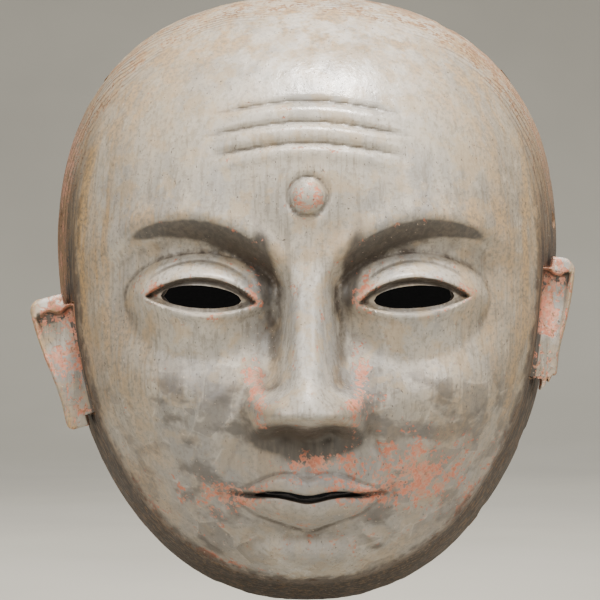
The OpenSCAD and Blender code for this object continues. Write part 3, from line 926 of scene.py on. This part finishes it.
def finish_ear(side, out, taper, broken):
    """Paints the ear's wear, its painted highlight and painted shade, and puts it in its seat."""
    piece = carve_ear(side, out, taper, broken)
    p = points_of(piece)
    x, y, z = p.T
    front = 1 - step(-2.5, -1, y)

    def proud(x, z):
        return -ear_carving(x, z, out, taper)

    carving = proud(x, z)
    edge = ear_outer(z, out, taper) - x
    raw = (1 - step(-19.5, -16.5, z)) * step(6.4, 7.2, x) if broken else np.zeros(len(x))
    paint(piece, "fine", (carving - mean_around(proud, x, z, 1.0)) * front + 0.15 * line(edge, 0.8))
    # A low band under the rolled rim, which the material darkens as painted shade.
    paint(piece, "broad", -3.0 * front * line(EAR_TOP - z - 6.0, 1.6) * step(1, 3, edge))
    paint(piece, "out", np.full(len(x), 0.6))
    # Painted shadow under the rolled rim, and painted shade along the inner edge where the ear meets the
    # head.
    paint(piece, "soot", 1.4 * front * line(EAR_TOP - z - 6.8, 2.0) * step(1.2, 2.5, edge)
          + 0.8 * (1 - step(2.8, 3.6, x)))
    paint(piece, "red", 0.15 + 0.7 * step(0.45, 0.62, noise(p, 9)) * step(2, 4, edge)
          + 0.4 * hump(x, z, out - 4, 4, 3, 7))
    # Painted highlight along the top of the rolled rim, paler broken wood, and random pale patches.
    paint(piece, "pale", 0.85 * line(EAR_TOP - z - 2.5, 3) + 0.5 * raw + 0.45 * step(0.4, 0.7, noise(p, 11)))
    paint(piece, "ochre", 0.9 * (1 - step(0.5, 3.5, edge)) + 0.5 * step(-8, -20, z))
    paint(piece, "bare", raw)
    if side == "right":
        piece.data.flip_normals()
    set_points(piece, at_ear(p, *EARS[side]))
    piece.data.set_sharp_from_angle(angle=math.radians(42))
    piece.data.materials.clear()
    piece.data.materials.append(ear_finish)
    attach(piece, "root")
    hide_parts(f"ear_{side}")


ear_finish = surface("pigment_on_ear", lambda place: pigment(place, marbled=1.0))
finish_ear("left", out=12, taper=2, broken=True)
finish_ear("right", out=16, taper=4, broken=False)

# ---- Ear pegs --------------------------------------------------------------------
# Bamboo pins, split off and whittled to 3 mm, driven from the hollow through the side wall into each ear and
# trimmed a little proud of the wood.


def bamboo(place):
    """Split bamboo: straw fibres along the pin with brown bundles between them, soiled in patches."""
    fibres = place.noise(0.22, (0.03, 1, 1), 3)
    bundles = place.noise(0.45, (0.02, 1, 1), 1, shift=8).step(0.56, 0.66)
    clouds = place.noise(5, detail=2)
    colour = layered(
        fibres.step(0.36, 0.66).mix((0.47, 0.32, 0.14), (0.30, 0.185, 0.075)),
        (0.75 * bundles, (0.15, 0.080, 0.032)),
        (0.45 * clouds.step(0.45, 0.65), (0.13, 0.075, 0.035)))
    return colour, 0.42 + 0.3 * fibres, 0.05 * fibres + 0.05 * bundles


bamboo_pin = surface("bamboo_pin", bamboo)
cut_ends = [(0, 1.02), (0.012, 1.28), (0.035, 1.44), (0.3, 1.47), (0.7, 1.45), (0.96, 1.40), (1, 1.15)]
pins = [along_x(PEG_BITE - PEG_LENGTH, PEG_BITE - 0.1, cut_ends, 0, height, 36, 0.012)
        for height in (-PEG_SPACING / 2, PEG_SPACING / 2)]
for side, ear in EARS.items():
    piece = new_mesh(f"ear_pegs_{side}_whittled", *gathered([placed(pin, ear) for pin in pins]))
    piece.data.set_sharp_from_angle(angle=math.radians(35))
    piece.data.materials.append(bamboo_pin)
    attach(piece, "root")
    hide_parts(f"ear_pegs_{side}")

# ---- Pads ------------------------------------------------------------------------
# Three small cushions of undyed hemp stuffed with cotton and glued into the hollow, one across the forehead
# and one on each cheek. A line of running stitches holds the turned-in edge of the cloth.

GLUE_LINE = 0.45  # between the hollow and a pad's back
SEAM_SUNK = 0.75  # how deep the stitches draw the cloth in
MOST_SWELLING = 1.3  # how far the stuffing may push the cloth out


def pad_form(cx, cz, rx, rz, lean, thick, columns, rows):
    """Closed sheet over a rounded rectangle: the back lies on the hollow, the front rises above it by
    thick (1 - r^2.6)^0.6. Gives points, faces, the seam's loop, and which points are the back."""
    u, v = np.meshgrid(np.linspace(-1, 1, columns + 1), np.linspace(-1, 1, rows + 1))
    a, b = u * np.sqrt(1 - v * v / 2), v * np.sqrt(1 - u * u / 2)
    r = np.clip(np.hypot(a, b), 1e-9, 1)
    c, s = a / r, b / r
    px, pz = rx * r * np.sign(c) * abs(c) ** 0.8, rz * r * np.sign(s) * abs(s) ** 0.8
    turn = math.radians(lean)
    x, z = cx + px * math.cos(turn) - pz * math.sin(turn), cz + px * math.sin(turn) + pz * math.cos(turn)
    base = -hollow(x, z) + GLUE_LINE
    front = np.stack([x, base + 0.25 + 0.80 * thick * (1 - r**2.6) ** 0.6, z], -1).reshape(-1, 3)
    back = np.stack([x, base, z], -1).reshape(-1, 3)
    ids = np.arange(x.size).reshape(x.shape)
    quads, loop = quads_of(ids)[:, [0, 3, 2, 1]], border(ids)
    on_loop = np.zeros(x.size, bool)
    on_loop[loop] = True
    lower = np.where(on_loop, np.arange(x.size), -1)
    lower[~on_loop] = x.size + np.arange((~on_loop).sum())
    points = np.concatenate([front, back[~on_loop]])
    is_back = np.arange(len(points)) >= x.size
    return points, [quads, lower[quads][:, ::-1]], loop, is_back


def stuffed(piece, loop, is_back):
    """Cloth simulation at ten times the size: the back is held, the seam keeps its length, and the rest has
    spare cloth and pressure inside. A point moves MOST_SWELLING at most."""
    start = points_of(piece)
    larger = 10 * MM
    piece.data.vertices.foreach_set("co", (start * larger).ravel())
    held = piece.vertex_groups.new(name="held")
    held.add(np.flatnonzero(is_back).tolist(), 1.0, "REPLACE")
    held.add(loop.tolist(), 0.6, "REPLACE")
    tight = piece.vertex_groups.new(name="tight")
    tight.add(loop.tolist(), 1.0, "REPLACE")
    cloth = piece.modifiers.new("cloth", "CLOTH")
    hemp_settings = {"quality": 6, "mass": 0.2, "use_pressure": True, "uniform_pressure_force": 4,
                     "tension_stiffness": 18, "compression_stiffness": 18, "bending_stiffness": 0.12,
                     "vertex_group_mass": "held", "vertex_group_shrink": "tight", "shrink_min": -0.09,
                     "shrink_max": 0.03}
    for name, value in hemp_settings.items():
        setattr(cloth.settings, name, value)
    cloth.settings.effector_weights.gravity = 0
    cloth.collision_settings.use_collision = False
    scene = bpy.context.scene
    for step_number in range(1, 21):
        scene.frame_set(step_number)
    swollen = np.empty(3 * len(start))
    evaluated = piece.evaluated_get(bpy.context.evaluated_depsgraph_get()).data
    evaluated.vertices.foreach_get("co", swollen)
    move = swollen.reshape(-1, 3) / larger - start
    far = np.linalg.norm(move, axis=1)
    move *= np.minimum(1, MOST_SWELLING / np.maximum(far, 1e-9))[:, None]
    piece.modifiers.clear()
    piece.vertex_groups.clear()
    scene.frame_set(1)
    return start + move


def stitches(seam, normals):
    """Running stitches along a closed line of points: every fourth place starts a thread over two spans, a
    round bar arched out along the normals with its ends sunk in the cloth."""
    bars = []
    for first in range(0, len(seam) - 3, 4):
        ends, out = seam[first:first + 3], normals[first + 1]
        share = np.linspace(0, 1, 9)[:, None]
        centres = ends[0] * (1 - share) ** 2 + 2 * share * (1 - share) * ends[1] + ends[2] * share**2
        centres = centres + out * (0.42 * (1 - (2 * share - 1) ** 4) - 0.18)
        along = (ends[2] - ends[0]) / np.linalg.norm(ends[2] - ends[0])
        radii = 0.20 * np.array([0.5, 0.85, 1, 1, 1.05, 1, 1, 0.85, 0.5])
        bars.append(tube(centres, radii, np.array([np.cross(out, along), out]), 8))
    return gathered(bars)


def cushion(name, shape, columns, rows, inset=6):
    """One pad: stuffed, drawn in along a line of stitches inset a few threads from its edge, and smoothed."""
    points, faces, loop, is_back = pad_form(*shape, columns, rows)
    line_ids = border(np.arange((rows + 1) * (columns + 1)).reshape(rows + 1, -1)[inset:-inset, inset:-inset])
    piece = new_mesh(f"{name}_stuffed", points, faces)
    points = stuffed(piece, loop, is_back)
    set_points(piece, points)
    drawn_in = 0.4 * (noise(points, 3.2) - 0.5) * ~is_back
    drawn_in[line_ids] -= SEAM_SUNK
    move_out(piece, drawn_in)
    finer = piece.modifiers.new("finer", "SUBSURF")
    finer.levels = finer.render_levels = 1
    smooth = bpy.data.meshes.new_from_object(piece.evaluated_get(bpy.context.evaluated_depsgraph_get()))
    piece.modifiers.clear()
    piece.data = smooth
    seam = stitches(points_of(piece)[line_ids], normals_of(piece)[line_ids])
    thread = new_mesh(f"{name}_thread", *seam)
    thread.data.materials.append(thread_finish)
    piece.data.materials.append(cloth_finish)
    for part in (piece, thread):
        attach(part, "root")
        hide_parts(name)
    thread.parent = piece


def hemp(place):
    """Plain weave of uneven threads at 0.8 mm, greyed and yellowed by sweat, with slubs and fuzz."""
    x, y, z = place.split()
    bent = 0.5 * place.noise(6)
    warp = (x + y * 0.4 + bent) * (2 * math.pi / 0.8)
    weft = (z + y * 0.4 + bent) * (2 * math.pi / 0.8)
    over = warp.sine() * weft.sine()
    threads = (abs((warp * 0.5).sine()) * over.step(-0.2, 0.2)
               + abs((weft * 0.5).sine()) * over.step(0.2, -0.2))
    slub = 0.5 * (place.noise(1.6, (0.15, 1, 1), 2).step(0.55, 0.72)
                  + place.noise(1.6, (1, 1, 0.15), 2, 5).step(0.55, 0.72))
    clouds = place.noise(9, detail=4, shift=3)
    fuzz = place.noise(0.25, detail=2)
    colour = layered(
        (0.7 * clouds.step(0.42, 0.66)).mix((0.50, 0.435, 0.32), (0.34, 0.275, 0.185)),
        (0.35 * slub, (0.50, 0.44, 0.33)),
        (0.55 * threads.step(0.55, 0.05), (0.12, 0.09, 0.055)),
        (0.35 * place.noise(17, detail=2, shift=20).step(0.5, 0.66), (0.24, 0.17, 0.10)))  # sweat stains
    return colour, 0.86 + 0.1 * fuzz, 0.12 * threads + 0.05 * fuzz + 0.05 * slub


def waxed_thread(place):
    """Twisted hemp thread, darker than the cloth."""
    twist = place.noise(0.2, (1, 1, 1), 2)
    return twist.step(0.4, 0.62).mix((0.20, 0.15, 0.09), (0.10, 0.07, 0.04)), 0.7 + 0.2 * twist, 0.05 * twist


cloth_finish = surface("hemp_cloth", hemp)
thread_finish = surface("hemp_thread", waxed_thread)
# centre in x and z, half width, half height, lean in degrees and thickness; then the cloth's grid
cushion("forehead_pad", (0, 60, 32, 11.2, 0, 11), 96, 40)
cushion("cheek_pad_left", (46, -34, 18.2, 10.3, 68, 9), 60, 36)
cushion("cheek_pad_right", (-46, -34, 18.2, 10.3, 112, 9), 60, 36)

# ---- Floor and light -----------------------------------------------------------
# A pale sweep of paper, three soft windows high in front and one behind. A strip of black card lies on the
# paper far behind the mask, hidden by it from in front: painted shade, a dark sheet that keeps its eye holes
# dark as the shade inside a mask would.

floor_z = shell_low.z / MM - 30
bend, bend_start, bend_radius = np.linspace(0.1, np.pi / 2, 12), 1200, 800
depths = np.concatenate([[-2500, bend_start], bend_start + bend_radius * np.sin(bend), [2000]])
levels = np.concatenate([[0, 0], bend_radius * (1 - np.cos(bend)), [2600]]) + floor_z
paper_points = np.concatenate([np.stack([np.full(len(depths), side), depths, levels], -1)
                               for side in (-3000.0, 3000.0)])
floor = new_mesh("floor", paper_points, [quads_of(np.arange(2 * len(depths)).reshape(2, -1).T)])


def paper(place):
    """Matt pale paper with a faint mottle."""
    clouds = place.noise(260, detail=3)
    colour = clouds.step(0.3, 0.7).mix((0.47, 0.455, 0.40), (0.43, 0.415, 0.365))
    return colour, 0.8 + 0.1 * clouds, 0.2 * clouds


def shade_card_paper(place):
    """Black flock, which gives nothing back: the painted shade seen through the eye holes."""
    nap = place.noise(3)
    return nap.mix((0.004, 0.004, 0.004), (0.008, 0.008, 0.008)), 0.9 + 0.1 * nap, 0.1 * nap


floor.data.materials.append(surface("paper", paper))
card_y = np.linspace(720, 1880, 24)
card_x = np.interp(card_y, [720, 1700, 1880], [98, 150, 150])
card_z = np.interp(card_y, depths, levels) + 4
card_points = np.concatenate([np.stack([side * card_x, card_y, card_z], -1) for side in (-1, 1)])
card = new_mesh("eye_hole_shade_card", card_points, [quads_of(np.arange(2 * len(card_y)).reshape(2, -1).T)])
card.data.materials.append(surface("eye_hole_shade_card", shade_card_paper))
card.data.materials[0].node_tree.nodes["Principled BSDF"].inputs["Specular IOR Level"].default_value = 0


def lamp(name, place, size, power, colour):
    """A soft square lamp that looks at the mask."""
    light = bpy.data.lights.new(name, "AREA")
    light.size, light.energy, light.color = size, power, colour
    holder = bpy.data.objects.new(name, light)
    holder.location = place
    holder.rotation_euler = (Vector((0, -0.03, 0)) - Vector(place)).to_track_quat("-Z", "Y").to_euler()
    bpy.context.scene.collection.objects.link(holder)


lamp("window_above", (0.12, -0.36, 1.15), 0.26, 37, (1, 0.955, 0.90))
lamp("window_right", (0.70, -0.95, 0.62), 0.35, 10, (1, 0.955, 0.90))
lamp("window_left", (-0.62, -1.0, 0.55), 0.35, 10, (1, 0.965, 0.92))
lamp("behind", (0.3, 1.2, 1.1), 0.8, 6, (0.95, 0.97, 1))
world = bpy.data.worlds.new("studio")
world.use_nodes = True
world.node_tree.nodes["Background"].inputs["Color"].default_value = (0.80, 0.80, 0.78, 1)
world.node_tree.nodes["Background"].inputs["Strength"].default_value = 0.24
bpy.context.scene.world = world
